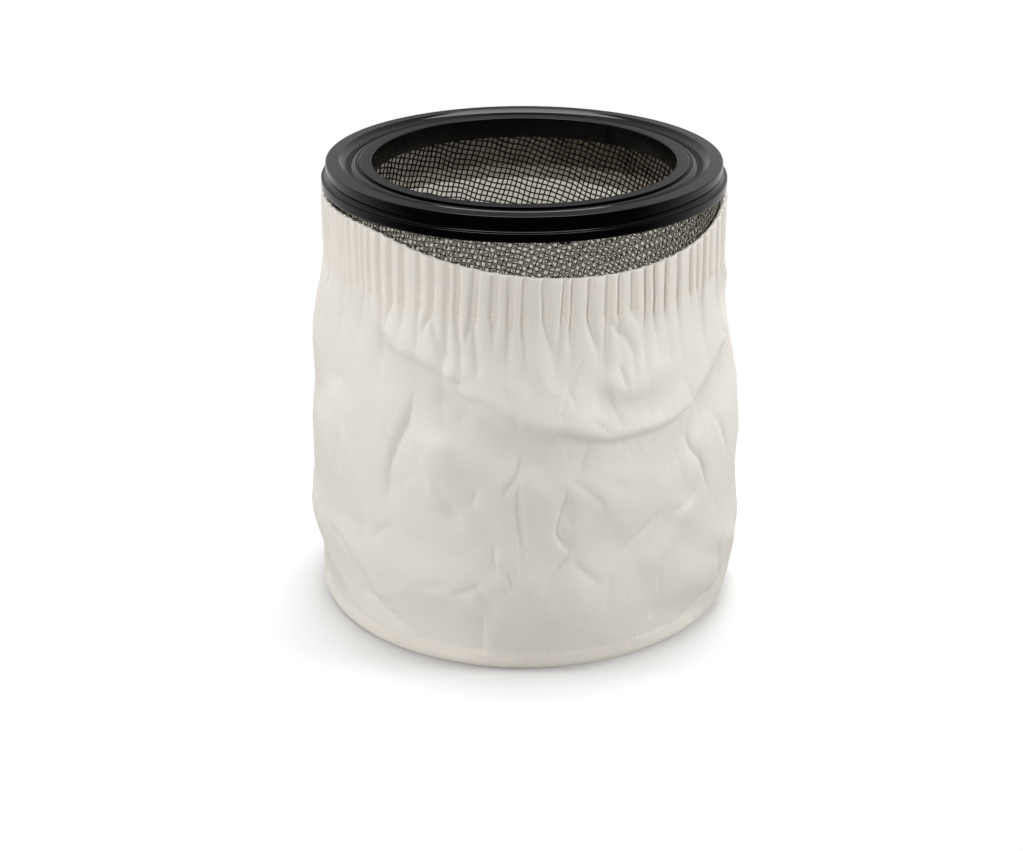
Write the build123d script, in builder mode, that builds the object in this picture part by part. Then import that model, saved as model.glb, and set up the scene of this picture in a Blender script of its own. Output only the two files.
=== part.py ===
"""Cage filter with its cloth bag: solids of every piece, one STEP file each.

Units are millimetres, +Z is up and z = 0 is the floor the bag stands on.  An azimuth is
counted from the front (-Y) towards the right (+X).
"""

import math
import os

from build123d import *

# ---- overall -------------------------------------------------------------------------
TOP_Z = 305.0                     # sealing land of the moulded ring
BIG = 600.0                       # side of the blocks used only for cutting

# ---- moulded ring --------------------------------------------------------------------
BORE_R = 100.0
BORE_BOTTOM_Z = 290.0
INNER_RIM_Z = 304.0               # flat rim round the bore, 1 mm under the land
INNER_RIM_R = 107.9
EDGE = 0.8                        # small rounding on the moulding's edges
BEAD_FOOT_Z = 301.8               # rounded bead beside the inner rim
BEAD_CREST = (110.9, 302.7)
GROOVE_R = 114.2
GROOVE_Z = 300.9
GROOVE_STEP_Z = 301.7
SLOPE_MID = (118.2, 302.7)        # cove between the groove and the land
LAND_IN_R = 121.4
LAND_OUT_R = 130.0
WALL_LOW_Z = 299.2                # straight part of the outer wall ends here
WAIST = (129.5, 297.4)            # the outer wall draws in slightly above the lip
FLARE_MID = (130.1, 295.9)
LIP_TOP = (131.6, 295.0)
LIP_R = 133.1
LIP_TOP_Z = 293.4
LIP_LOW_Z = 290.6
LIP_UNDER_R = 131.6
RING_LOW_Z = 289.0
SLOT_OUT_R = 129.4                # slot that takes the mesh and its hoop
SLOT_IN_R = 126.6
SLOT_TOP_Z = 295.5
TONGUE_R = 124.0
COLLAR_R = 103.0                  # outside of the wall round the bore
WEB_LOW_Z = 297.8

# ---- wire cage -----------------------------------------------------------------------
WIRE = 0.8
MESH_OUT_R = 129.2
MESH_IN_R = MESH_OUT_R - 2 * WIRE
MESH_TOP_Z = 295.3
SHEET = 0.7                       # steel strip of the rims and the seam strip
RIM_LOW_Z = 1.4
RIM_HIGH_Z = 11.4
RIM_IN_R = 120.0
RIM_OUT_R = MESH_OUT_R + SHEET
BASE_MESH_LOW_Z = RIM_LOW_Z + SHEET
BASE_MESH_HIGH_Z = BASE_MESH_LOW_Z + 2 * WIRE
BASE_MESH_R = MESH_IN_R - 0.1
HOOP_OUT_R = MESH_IN_R - 0.05
HOOP_IN_R = SLOT_IN_R + 0.1
HOOP_LOW_Z = 289.2
STRIP_WIDTH = 14.0
STRIP_AZIMUTH = -95.0             # the mesh's two edges meet on the left
STRIP_LOW_Z = RIM_HIGH_Z + 0.4
STRIP_HIGH_Z = 281.0
SEALANT = [(121.8, RING_LOW_Z), (MESH_IN_R, RING_LOW_Z), (MESH_IN_R, 282.4),
           (126.6, 282.6), (125.2, 285.4)]

# ---- cloth bag -----------------------------------------------------------------------
CLOTH = 0.6
LAY = 0.05                        # air between two pieces that follow the same curve
FOOT_R = 141.9                    # outside of the bag at the floor
FOOT_HIGH_Z = 16.0
HEM_HIGH_Z = 15.4                 # turned-up edge of the base cloth, inside the side cloth
BELLY = [(144.2, 30.0), (146.2, 45.0), (147.0, 60.0), (146.8, 78.0), (146.0, 98.0),
         (145.4, 122.0), (144.0, 150.0), (141.4, 178.0), (138.5, 200.0), (135.8, 218.0)]
NECK_R = 132.3
NECK_LOW_Z = 236.0
NECK_SLOPE = (-0.16, 1.0)
MOUTH_Z = 286.0                   # bag's mouth, tucked up under the ring's lip
MOUTH_TILT = 15.2                 # the front of the mouth has slipped down
MOUTH_AZIMUTH = 20.0
MOUTH_HINGE = 55.8                # distance from the axis at which the mouth starts to drop
LINING_R = 130.3                  # inner layer of the elastic's casing
ELASTIC_IN_R = LINING_R + CLOTH
ELASTIC_OUT_R = NECK_R - CLOTH
CASING_LOW = -26.6                # heights below the mouth's edge
ELASTIC_LOW = -25.4
ELASTIC_HIGH = -1.0
THREAD = 0.5
CASING_ROW = (-26.3, -25.7)
BASE_ROW = (13.6, 14.2)
SEAM_AZIMUTH = 105.0              # the side cloth's two edges meet on the right, a little behind
SEAM_WIDTH = 12.0
SEAM_THICK = 2 * CLOTH
SEAM_ROW_OFFSET = 4.0
SEAM_LOW_Z = 18.0
SEAM_HIGH_Z = 236.0


def save(part, name):
    """Label a solid and write its STEP file."""
    part.label = name
    export_step(part, f"parts/{name}.step")


def front_direction(azimuth):
    """Horizontal unit vector at an azimuth counted from -Y towards +X."""
    a = math.radians(azimuth)
    return math.sin(a), -math.cos(a)


def tube(r_in, r_out, z_low, z_high):
    """Upright tube, or a disc when r_in is zero."""
    with BuildPart() as p:
        with BuildSketch(Plane.XY.offset(z_low)):
            Circle(r_out)
            if r_in > 0:
                Circle(r_in, mode=Mode.SUBTRACT)
        extrude(amount=z_high - z_low)
    return p.part


def turned(points):
    """Solid of revolution about Z from a closed outline of (r, z) points."""
    with BuildPart() as p:
        with BuildSketch(Plane.XZ):
            with BuildLine():
                Polyline(*points, close=True)
            make_face()
        revolve(axis=Axis.Z)
    return p.part


def radial_bar(azimuth, width, z_low, z_high, shift=0.0):
    """Block running outwards from the axis, used to keep a narrow strip of a tube."""
    x, y = front_direction(azimuth)
    place = Plane(origin=(0, 0, z_low), x_dir=(x, y, 0), z_dir=(0, 0, 1))
    with BuildPart() as p:
        with BuildSketch(place):
            with Locations((BIG / 4, shift)):
                Rectangle(BIG / 2, width)
        extrude(amount=z_high - z_low)
    return p.part


# ---- surfaces that follow the tilted mouth of the bag --------------------------------
def over_mouth(offset):
    """Everything above the mouth's edge, the edge being moved by offset along Z."""
    x, y = front_direction(MOUTH_AZIMUTH)
    fall = math.tan(math.radians(MOUTH_TILT))
    hinge = (x * MOUTH_HINGE, y * MOUTH_HINGE, MOUTH_Z + offset)
    slope = Plane(origin=hinge, x_dir=(-y, x, 0), z_dir=(x * fall, y * fall, 1))
    with BuildPart() as p:
        with BuildSketch(Plane.XY.offset(MOUTH_Z + offset)):
            Rectangle(BIG, BIG)
        extrude(amount=BIG / 4)
        with BuildSketch(slope):
            Rectangle(BIG, BIG)
        extrude(amount=BIG / 4)
    return p.part


def mouth_band(r_in, r_out, low, high):
    """Tube whose two ends run parallel to the mouth's edge."""
    whole = tube(r_in, r_out, NECK_LOW_Z - 2 * CLOTH, TOP_Z)
    return (whole & over_mouth(low)) - over_mouth(high)


# ---- filter cage ---------------------------------------------------------------------
def flange_ring():
    """Moulded ring: bore, inner rim, bead, cove, sealing land, outer lip, mesh slot."""
    with BuildPart() as p:
        with BuildSketch(Plane.XZ):
            with BuildLine():
                Polyline((COLLAR_R, BORE_BOTTOM_Z), (BORE_R + EDGE, BORE_BOTTOM_Z))
                Line((BORE_R + EDGE, BORE_BOTTOM_Z), (BORE_R, BORE_BOTTOM_Z + EDGE))
                Line((BORE_R, BORE_BOTTOM_Z + EDGE), (BORE_R, INNER_RIM_Z - EDGE))
                RadiusArc((BORE_R, INNER_RIM_Z - EDGE), (BORE_R + EDGE, INNER_RIM_Z), EDGE)
                Line((BORE_R + EDGE, INNER_RIM_Z), (INNER_RIM_R, INNER_RIM_Z))
                Line((INNER_RIM_R, INNER_RIM_Z), (INNER_RIM_R, BEAD_FOOT_Z))
                ThreePointArc((INNER_RIM_R, BEAD_FOOT_Z), BEAD_CREST, (GROOVE_R, GROOVE_Z))
                Line((GROOVE_R, GROOVE_Z), (GROOVE_R, GROOVE_STEP_Z))
                ThreePointArc((GROOVE_R, GROOVE_STEP_Z), SLOPE_MID, (LAND_IN_R, TOP_Z))
                Line((LAND_IN_R, TOP_Z), (LAND_OUT_R - EDGE, TOP_Z))
                RadiusArc((LAND_OUT_R - EDGE, TOP_Z), (LAND_OUT_R, TOP_Z - EDGE), EDGE)
                Polyline((LAND_OUT_R, TOP_Z - EDGE), (LAND_OUT_R, WALL_LOW_Z), WAIST)
                ThreePointArc(WAIST, FLARE_MID, LIP_TOP)
                Line(LIP_TOP, (LIP_R, LIP_TOP_Z))
                Line((LIP_R, LIP_TOP_Z), (LIP_R, LIP_LOW_Z))
                Line((LIP_R, LIP_LOW_Z), (LIP_UNDER_R, RING_LOW_Z))
                Polyline((LIP_UNDER_R, RING_LOW_Z), (SLOT_OUT_R, RING_LOW_Z),
                         (SLOT_OUT_R, SLOT_TOP_Z), (SLOT_IN_R, SLOT_TOP_Z),
                         (SLOT_IN_R, RING_LOW_Z), (TONGUE_R, RING_LOW_Z),
                         (TONGUE_R, WEB_LOW_Z), (COLLAR_R, WEB_LOW_Z),
                         (COLLAR_R, BORE_BOTTOM_Z))
            make_face()
        revolve(axis=Axis.Z)
    return p.part


def mesh_seam_strip():
    """Steel strip over the joint between the mesh's two edges, on the inside."""
    skin = tube(MESH_IN_R - SHEET, MESH_IN_R, STRIP_LOW_Z, STRIP_HIGH_Z)
    return skin & radial_bar(STRIP_AZIMUTH, STRIP_WIDTH, STRIP_LOW_Z, STRIP_HIGH_Z)


def bottom_rim():
    """Outer rim: wall round the mesh's foot and a flat flange under its edge."""
    return turned([(RIM_IN_R, RIM_LOW_Z), (RIM_OUT_R, RIM_LOW_Z), (RIM_OUT_R, RIM_HIGH_Z),
                   (MESH_OUT_R, RIM_HIGH_Z), (MESH_OUT_R, BASE_MESH_LOW_Z),
                   (RIM_IN_R, BASE_MESH_LOW_Z)])


def bottom_clamp_ring():
    """Inner rim that clamps the mesh wall and the mesh base against the outer rim."""
    r_out, low = BASE_MESH_R, BASE_MESH_HIGH_Z
    return turned([(RIM_IN_R, low), (r_out, low), (r_out, RIM_HIGH_Z),
                   (r_out - SHEET, RIM_HIGH_Z), (r_out - SHEET, low + SHEET),
                   (RIM_IN_R, low + SHEET)])


# ---- cloth bag -----------------------------------------------------------------------
def cloth_curve(shift):
    """Curved middle stretch of the side cloth's outline, moved outwards by shift."""
    knots = [(FOOT_R, FOOT_HIGH_Z)] + BELLY + [(NECK_R, NECK_LOW_Z)]
    curve = Spline(*knots, tangents=[(0, 1), NECK_SLOPE])
    return curve.moved(Location((shift, 0, 0)))


def cloth_shell(inner_shift, outer_shift):
    """Shell between two copies of the side cloth's outline."""
    inner, outer = cloth_curve(inner_shift), cloth_curve(outer_shift)
    with BuildPart() as p:
        with BuildSketch(Plane.XZ):
            with BuildLine():
                add(outer)
                add(inner)
                Polyline(outer @ 1, (NECK_R + outer_shift, MOUTH_Z),
                         (NECK_R + inner_shift, MOUTH_Z), inner @ 1)
                Polyline(inner @ 0, (FOOT_R + inner_shift, 0),
                         (FOOT_R + outer_shift, 0), outer @ 0)
            make_face()
        revolve(axis=Axis.Z)
    return p.part


def elastic_band():
    """Elastic lying in the casing round the mouth."""
    return mouth_band(ELASTIC_IN_R, ELASTIC_OUT_R, ELASTIC_LOW, ELASTIC_HIGH)


def side_panel():
    """Side cloth with its turned-in casing, hollow where the elastic lies."""
    casing = mouth_band(LINING_R, ELASTIC_OUT_R, CASING_LOW, 0.0)
    return (cloth_shell(-CLOTH, 0.0) + casing) - over_mouth(0.0) - elastic_band()


def base_panel():
    """Round base cloth with its edge turned up inside the side cloth."""
    r_out = FOOT_R - CLOTH
    return turned([(0, 0), (r_out, 0), (r_out, HEM_HIGH_Z), (r_out - CLOTH, HEM_HIGH_Z),
                   (r_out - CLOTH, CLOTH), (0, CLOTH)])


def side_seam_allowance():
    """The two turned edges of the side cloth, lying inside the bag."""
    skin = cloth_shell(-CLOTH - SEAM_THICK, -CLOTH - LAY)
    return skin & radial_bar(SEAM_AZIMUTH, SEAM_WIDTH, SEAM_LOW_Z, SEAM_HIGH_Z)


def side_seam_stitching():
    """Two rows of thread on the outside of the side seam."""
    skin = cloth_shell(LAY, THREAD)
    rows = [skin & radial_bar(SEAM_AZIMUTH, THREAD, SEAM_LOW_Z, SEAM_HIGH_Z, shift)
            for shift in (-SEAM_ROW_OFFSET, SEAM_ROW_OFFSET)]
    solids = [solid for row in rows for solid in row.solids()]
    return Compound(children=solids)


def main():
    """Build every piece and write its STEP file."""
    os.makedirs("parts", exist_ok=True)
    save(flange_ring(), "flange_ring")
    save(tube(HOOP_IN_R, HOOP_OUT_R, HOOP_LOW_Z, MESH_TOP_Z), "top_hoop")
    save(turned(SEALANT), "mesh_sealant")
    save(tube(MESH_IN_R, MESH_OUT_R, BASE_MESH_LOW_Z, MESH_TOP_Z), "mesh_wall")
    save(mesh_seam_strip(), "mesh_seam_strip")
    save(bottom_rim(), "bottom_rim")
    save(bottom_clamp_ring(), "bottom_clamp_ring")
    save(tube(0, BASE_MESH_R, BASE_MESH_LOW_Z, BASE_MESH_HIGH_Z), "mesh_base")
    save(side_panel(), "side_panel")
    save(elastic_band(), "elastic_band")
    save(mouth_band(NECK_R, NECK_R + THREAD, *CASING_ROW), "casing_stitching")
    save(base_panel(), "base_panel")
    save(tube(FOOT_R, FOOT_R + THREAD, *BASE_ROW), "base_stitching")
    save(side_seam_allowance(), "side_seam_allowance")
    save(side_seam_stitching(), "side_seam_stitching")


if __name__ == "__main__":
    main()
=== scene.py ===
"""Cage filter of a drum dust collector, with its loose calico bag pulled over a wire cage.

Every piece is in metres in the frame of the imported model: +Z up, the bag standing on z = 0,
the front at -Y.  An azimuth is counted from the front towards the right (+X).
"""

from __future__ import annotations

import logging
import math
from collections.abc import Callable, Sequence
from dataclasses import dataclass, field
from enum import Enum

import bpy
import numpy as np
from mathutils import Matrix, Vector


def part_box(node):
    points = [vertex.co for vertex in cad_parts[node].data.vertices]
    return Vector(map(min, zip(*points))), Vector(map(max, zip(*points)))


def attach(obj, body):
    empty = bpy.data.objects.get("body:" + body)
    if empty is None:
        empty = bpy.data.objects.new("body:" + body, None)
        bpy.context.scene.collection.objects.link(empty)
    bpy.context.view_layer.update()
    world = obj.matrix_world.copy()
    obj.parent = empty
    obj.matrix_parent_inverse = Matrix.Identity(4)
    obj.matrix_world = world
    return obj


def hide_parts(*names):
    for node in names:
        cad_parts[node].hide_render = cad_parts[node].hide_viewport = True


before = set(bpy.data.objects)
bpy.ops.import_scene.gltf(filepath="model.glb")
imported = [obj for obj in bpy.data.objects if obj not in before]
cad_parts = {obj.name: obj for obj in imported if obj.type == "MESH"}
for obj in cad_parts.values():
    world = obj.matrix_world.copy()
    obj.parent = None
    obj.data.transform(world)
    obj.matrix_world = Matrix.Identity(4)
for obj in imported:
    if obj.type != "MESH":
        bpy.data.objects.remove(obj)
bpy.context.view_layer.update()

logging.basicConfig(level=logging.INFO, format="%(message)s")
LOG = logging.getLogger("cage_filter")

MM = 0.001
TAU = 2.0 * math.pi
GIRTH_R = 145.0      # mean radius of the bag in millimetres, where an angle is turned to a length

Array = np.ndarray
Point2 = tuple[float, float]
Colour = tuple[float, float, float, float]
Settings = dict[str | int, object]
Links = dict[str | int, bpy.types.NodeSocket]
Wobble = Callable[[Array, Array, Array], tuple[Array, Array]]


# ======================================================================================
# Shared helpers
# ======================================================================================
def srgb(code: str) -> Colour:
    """Turn an sRGB hex colour into linear RGBA.

    Args:
        code: Six hex digits, such as "E8E4DA".

    Returns:
        Linear red, green and blue with an alpha of one.
    """
    values = [int(code[i:i + 2], 16) / 255.0 for i in (0, 2, 4)]
    linear = [v / 12.92 if v <= 0.04045 else ((v + 0.055) / 1.055) ** 2.4 for v in values]
    return linear[0], linear[1], linear[2], 1.0


def on_cylinder(azimuth: Array, radius: Array, height: Array) -> Array:
    """Place points round the filter's axis.

    Args:
        azimuth: Angles in radians from the front towards the right.
        radius: Distances from the axis in millimetres.
        height: Heights in millimetres.

    Returns:
        Points in metres, with a last axis of three.
    """
    azimuth, radius, height = np.broadcast_arrays(azimuth, radius, height)
    x, y = radius * np.sin(azimuth), -radius * np.cos(azimuth)
    return np.stack([x, y, height], axis=-1) * MM


def unit(vectors: Array) -> Array:
    """Scale vectors along the last axis to length one."""
    return vectors / np.maximum(np.linalg.norm(vectors, axis=-1, keepdims=True), 1e-12)


def node_radius(node: str) -> float:
    """Largest distance of a CAD node from the axis, in millimetres."""
    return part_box(node)[1].x / MM


def node_span(node: str) -> Point2:
    """Lowest and highest point of a CAD node, in millimetres."""
    low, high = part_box(node)
    return low.z / MM, high.z / MM


def node_azimuth(node: str) -> float:
    """Azimuth of the middle of a CAD node, in radians from the front towards the right."""
    low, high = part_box(node)
    return math.atan2(0.5 * (low.x + high.x), -0.5 * (low.y + high.y))


def smooth_step(x: Array) -> Array:
    """Ease from 0 to 1 as x goes from 0 to 1."""
    t = np.clip(x, 0.0, 1.0)
    return t * t * (3.0 - 2.0 * t)


def make_object(name: str, points: Array, faces: Sequence[Array],
                uv: Array | None = None) -> bpy.types.Object:
    """Make a smooth-shaded mesh object from points and faces.

    Args:
        name: Piece name.
        points: Vertices in metres, shape (n, 3).
        faces: Arrays of vertex numbers, one array for each number of corners.
        uv: Optional position of each vertex on the flat material in metres, shape (n, 2).

    Returns:
        The new object, linked to the scene.
    """
    corners = np.concatenate([group.astype(np.int32).ravel() for group in faces])
    sizes = np.concatenate([np.full(len(group), group.shape[1], np.int32) for group in faces])
    mesh = bpy.data.meshes.new(name)
    mesh.vertices.add(len(points))
    mesh.vertices.foreach_set("co", np.ascontiguousarray(points, np.float32).ravel())
    mesh.loops.add(len(corners))
    mesh.loops.foreach_set("vertex_index", corners)
    mesh.polygons.add(len(sizes))
    mesh.polygons.foreach_set("loop_start", (np.cumsum(sizes) - sizes).astype(np.int32))
    mesh.polygons.foreach_set("use_smooth", np.ones(len(sizes), bool))
    if uv is not None:
        layer = mesh.uv_layers.new(name="flat")
        layer.data.foreach_set("uv", np.ascontiguousarray(uv[corners], np.float32).ravel())
    mesh.update(calc_edges=True)
    mesh.validate()
    piece = bpy.data.objects.new(name, mesh)
    bpy.context.scene.collection.objects.link(piece)
    return piece


def grid_faces(rows: int, columns: int, wrap_rows: bool, wrap_columns: bool) -> Array:
    """Quads of a grid of points numbered row by row.

    Args:
        rows: Number of rows of points.
        columns: Number of points in each row.
        wrap_rows: Whether the last row joins the first.
        wrap_columns: Whether the last column joins the first.

    Returns:
        Quads, shape (n, 4).
    """
    r = np.arange(rows if wrap_rows else rows - 1)[:, None]
    c = np.arange(columns if wrap_columns else columns - 1)[None, :]
    r2, c2 = (r + 1) % rows, (c + 1) % columns
    corners = [r * columns + c, r * columns + c2, r2 * columns + c2, r2 * columns + c]
    return np.stack(corners, axis=-1).reshape(-1, 4)


@dataclass(frozen=True)
class Corner:
    """One corner of a turned outline, in millimetres, with its rounding."""

    r: float
    z: float
    rounding: float = 0.0


def rounded_outline(corners: Sequence[Corner], steps: int = 4, guard: float = 0.25) -> Array:
    """Round the corners of a closed outline and hold its straight runs flat.

    Args:
        corners: Corners in order.
        steps: Segments in each rounding.
        guard: Distance beyond a rounding of the extra point that keeps a face flat.

    Returns:
        Points (r, z) in millimetres, shape (n, 2).
    """
    p = np.array([(c.r, c.z) for c in corners])
    made: list[Array] = []
    for i, corner in enumerate(corners):
        before, here, after = p[i - 1], p[i], p[(i + 1) % len(p)]
        back, ahead = unit(before - here), unit(after - here)
        if corner.rounding <= 0.0:
            made.append(here)
            continue
        half = 0.5 * math.acos(float(np.clip(back @ ahead, -1.0, 1.0)))
        run = min(corner.rounding / math.tan(half), 0.48 * np.linalg.norm(before - here),
                  0.48 * np.linalg.norm(after - here))
        start, end = here + back * run, here + ahead * run
        made.append(start + back * min(guard, 0.4 * (np.linalg.norm(before - here) - run)))
        for t in np.linspace(0.0, 1.0, steps + 1):
            made.append((1 - t) ** 2 * start + 2 * t * (1 - t) * here + t * t * end)
        made.append(end + ahead * min(guard, 0.4 * (np.linalg.norm(after - here) - run)))
    return np.array(made)


def arc_through(start: Point2, middle: Point2, end: Point2, count: int) -> list[Corner]:
    """Points of a shallow curve through three points, its ends left out.

    Args:
        start: First point (r, z).
        middle: Point the curve passes half way.
        end: Last point.
        count: Number of points wanted.

    Returns:
        Corners without rounding.
    """
    a, m, b = np.array(start), np.array(middle), np.array(end)
    pull = 2 * m - 0.5 * (a + b)
    t = np.linspace(0.0, 1.0, count + 2)[1:-1, None]
    curve = (1 - t) ** 2 * a + 2 * t * (1 - t) * pull + t * t * b
    return [Corner(float(r), float(z)) for r, z in curve]


def turned(name: str, outline: Array, segments: int, wobble: Wobble | None = None) -> bpy.types.Object:
    """Turn a closed outline round the axis.

    Args:
        name: Piece name.
        outline: Points (r, z) in millimetres.
        segments: Number of steps round the axis.
        wobble: Optional function of azimuth, r and z that returns a changed r and z.

    Returns:
        The new object.
    """
    a = np.linspace(0.0, TAU, segments, endpoint=False)[:, None]
    r, z = (np.broadcast_to(column, (segments, len(outline))) for column in outline.T)
    if wobble is not None:
        r, z = wobble(a, r, z)
    points = on_cylinder(a, r, z).reshape(-1, 3)
    return make_object(name, points, [grid_faces(segments, len(outline), True, True)])


class RoundNoise:
    """Smooth random field over azimuth and height that closes on itself round the axis."""

    ROWS = 256

    def __init__(self, seed: int, cell: float, radius: float = GIRTH_R) -> None:
        """Draw the lattice.

        Args:
            seed: Seed of the random draw.
            cell: Size of one lattice cell in millimetres.
            radius: Radius at which the cell has that size.
        """
        self.around = max(3, round(TAU * radius / cell))
        self.cell = cell
        self.lattice = np.random.default_rng(seed).uniform(-1.0, 1.0, (self.around, self.ROWS))

    def cells(self, azimuth: Array, height: Array) -> tuple[Array, Array, Array, Array]:
        """Find the lattice cell of each place.

        Args:
            azimuth: Angles in radians.
            height: Heights in millimetres.

        Returns:
            Column and row of the cell, then the shares of the way across and up it.
        """
        x = np.mod(azimuth / TAU, 1.0) * self.around
        y = height / self.cell + self.ROWS / 4
        column, row = np.floor(x).astype(int), np.floor(y).astype(int)
        return column, row, x - column, y - row

    def at(self, azimuth: Array, height: Array) -> Array:
        """Sample the field.

        Args:
            azimuth: Angles in radians.
            height: Heights in millimetres.

        Returns:
            Values from about -1 to 1.
        """
        column, row, across, up = self.cells(azimuth, height)
        across, up = smooth_step(across), smooth_step(up)
        total = 0.0
        for dx, wx in ((0, 1 - across), (1, across)):
            for dy, wy in ((0, 1 - up), (1, up)):
                knot = self.lattice[(column + dx) % self.around, (row + dy) % self.ROWS]
                total = total + wx * wy * knot
        return total

    def facets(self, azimuth: Array, height: Array) -> Array:
        """Sample the field as flat three-sided facets that meet in creases.

        Args:
            azimuth: Angles in radians.
            height: Heights in millimetres.

        Returns:
            Values from -1 to 1.
        """
        column, row, across, up = self.cells(azimuth, height)
        x0, x1 = column % self.around, (column + 1) % self.around
        y0, y1 = row % self.ROWS, (row + 1) % self.ROWS
        near, right = self.lattice[x0, y0], self.lattice[x1, y0]
        above, far = self.lattice[x0, y1], self.lattice[x1, y1]
        lower = near + across * (right - near) + up * (above - near)
        upper = far + (1 - across) * (above - far) + (1 - up) * (right - far)
        return np.where(across + up < 1.0, lower, upper)


# ======================================================================================
# Finishes
# ======================================================================================
class ShaderTree:
    """Node tree of one new material or world."""

    def __init__(self, owner: bpy.types.Material | bpy.types.World) -> None:
        """Empty the owner's node tree."""
        owner.use_nodes = True
        self.owner = owner
        self.nodes = owner.node_tree.nodes
        self.links = owner.node_tree.links
        self.nodes.clear()

    def add(self, kind: str, settings: Settings | None = None, links: Links | None = None,
            out: str | int = 0) -> bpy.types.NodeSocket | None:
        """Add a node with its settings and incoming links.

        Args:
            kind: Node type without its "ShaderNode" prefix.
            settings: Node properties, or default values of inputs by name or number.
            links: For each input, by name or number, the socket that feeds it.
            out: Output wanted, by name or number.

        Returns:
            The output's socket, or nothing for a node that ends the tree.
        """
        node = self.nodes.new("ShaderNode" + kind)
        for key, value in (settings or {}).items():
            if isinstance(key, str) and hasattr(node, key):
                setattr(node, key, value)
            else:
                node.inputs[key].default_value = value
        for key, socket in (links or {}).items():
            self.links.new(socket, node.inputs[key])
        return node.outputs[out] if len(node.outputs) else None


def grey(value: float) -> Colour:
    """Grey of a linear value."""
    return value, value, value, 1.0


def per_mm(size: float) -> float:
    """Scale that makes one cell of a noise or cell pattern the given size in millimetres."""
    return 1.0 / (size * MM)


def waves_per_mm(size: float) -> float:
    """Scale that sets the bands of a wave pattern the given distance apart in millimetres."""
    return TAU / (20.0 * size * MM)


@dataclass(frozen=True)
class Coat:
    """A finish: what it is called and how its surface is made."""

    name: str

    def surface(self, tree: ShaderTree, where: bpy.types.NodeSocket) -> bpy.types.NodeSocket:
        """Build the surface.

        Args:
            tree: Tree to add nodes to.
            where: Position on the piece.

        Returns:
            The surface's socket.
        """
        raise NotImplementedError

    def build(self) -> bpy.types.Material:
        """Make the material.

        Returns:
            The new material.
        """
        tree = ShaderTree(bpy.data.materials.new(self.name))
        where = tree.add("TexCoord", out="Object")
        tree.add("OutputMaterial", links={"Surface": self.surface(tree, where)})
        return tree.owner


@dataclass(frozen=True)
class MouldedAbs(Coat):
    """Black ABS, injection moulded: near-black body, glossy skin with a faint orange peel."""

    name: str = "moulded_black_abs"
    colour: str = "030303"
    dust: str = "1A1A1A"
    ior: float = 1.30
    rough_low: float = 0.07
    rough_high: float = 0.15
    peel_mm: float = 5.0
    peel_depth_mm: float = 0.010
    patch_mm: float = 28.0
    dust_mm: float = 0.7

    def surface(self, tree: ShaderTree, where: bpy.types.NodeSocket) -> bpy.types.NodeSocket:
        """Build the surface.

        Args:
            tree: Tree to add nodes to.
            where: Position on the piece.

        Returns:
            The surface's socket.
        """
        peel = tree.add("TexNoise", {"Scale": per_mm(self.peel_mm), "Detail": 2.0}, {"Vector": where})
        # Handling leaves fine scuffs, which the eye reads as patches of duller skin.
        patch = tree.add("TexNoise", {"Scale": per_mm(self.patch_mm), "Detail": 4.0, "Roughness": 0.6},
                         {"Vector": where})
        rough = tree.add("MapRange", {"From Min": 0.35, "From Max": 0.7, "To Min": self.rough_low,
                                      "To Max": self.rough_high}, {"Value": patch})
        dust = tree.add("TexNoise", {"Scale": per_mm(self.dust_mm), "Detail": 2.0}, {"Vector": where})
        share = tree.add("MapRange", {"From Min": 0.74, "From Max": 0.84}, {"Value": dust})
        specks = tree.add("Mix", {"data_type": "RGBA", 6: srgb(self.colour), 7: srgb(self.dust)},
                          {0: share}, 2)
        bump = tree.add("Bump", {"Distance": self.peel_depth_mm * MM, "Strength": 0.6}, {"Height": peel})
        return tree.add("BsdfPrincipled", {"IOR": self.ior},
                        {"Base Color": specks, "Roughness": rough, "Normal": bump})


@dataclass(frozen=True)
class CuredSealant(Coat):
    """Black polyurethane sealant, gunned and cured: glossy, lumpy and slightly pitted."""

    name: str = "cured_black_sealant"
    colour: str = "090909"
    ior: float = 1.45
    lump_mm: float = 7.0
    lump_depth_mm: float = 0.25

    def surface(self, tree: ShaderTree, where: bpy.types.NodeSocket) -> bpy.types.NodeSocket:
        """Build the surface.

        Args:
            tree: Tree to add nodes to.
            where: Position on the piece.

        Returns:
            The surface's socket.
        """
        lumps = tree.add("TexNoise", {"Scale": per_mm(self.lump_mm), "Detail": 3.0}, {"Vector": where})
        bump = tree.add("Bump", {"Distance": self.lump_depth_mm * MM, "Strength": 0.8}, {"Height": lumps})
        rough = tree.add("MapRange", {"To Min": 0.18, "To Max": 0.42}, {"Value": lumps})
        return tree.add("BsdfPrincipled", {"Base Color": srgb(self.colour), "IOR": self.ior},
                        {"Roughness": rough, "Normal": bump})


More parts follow.
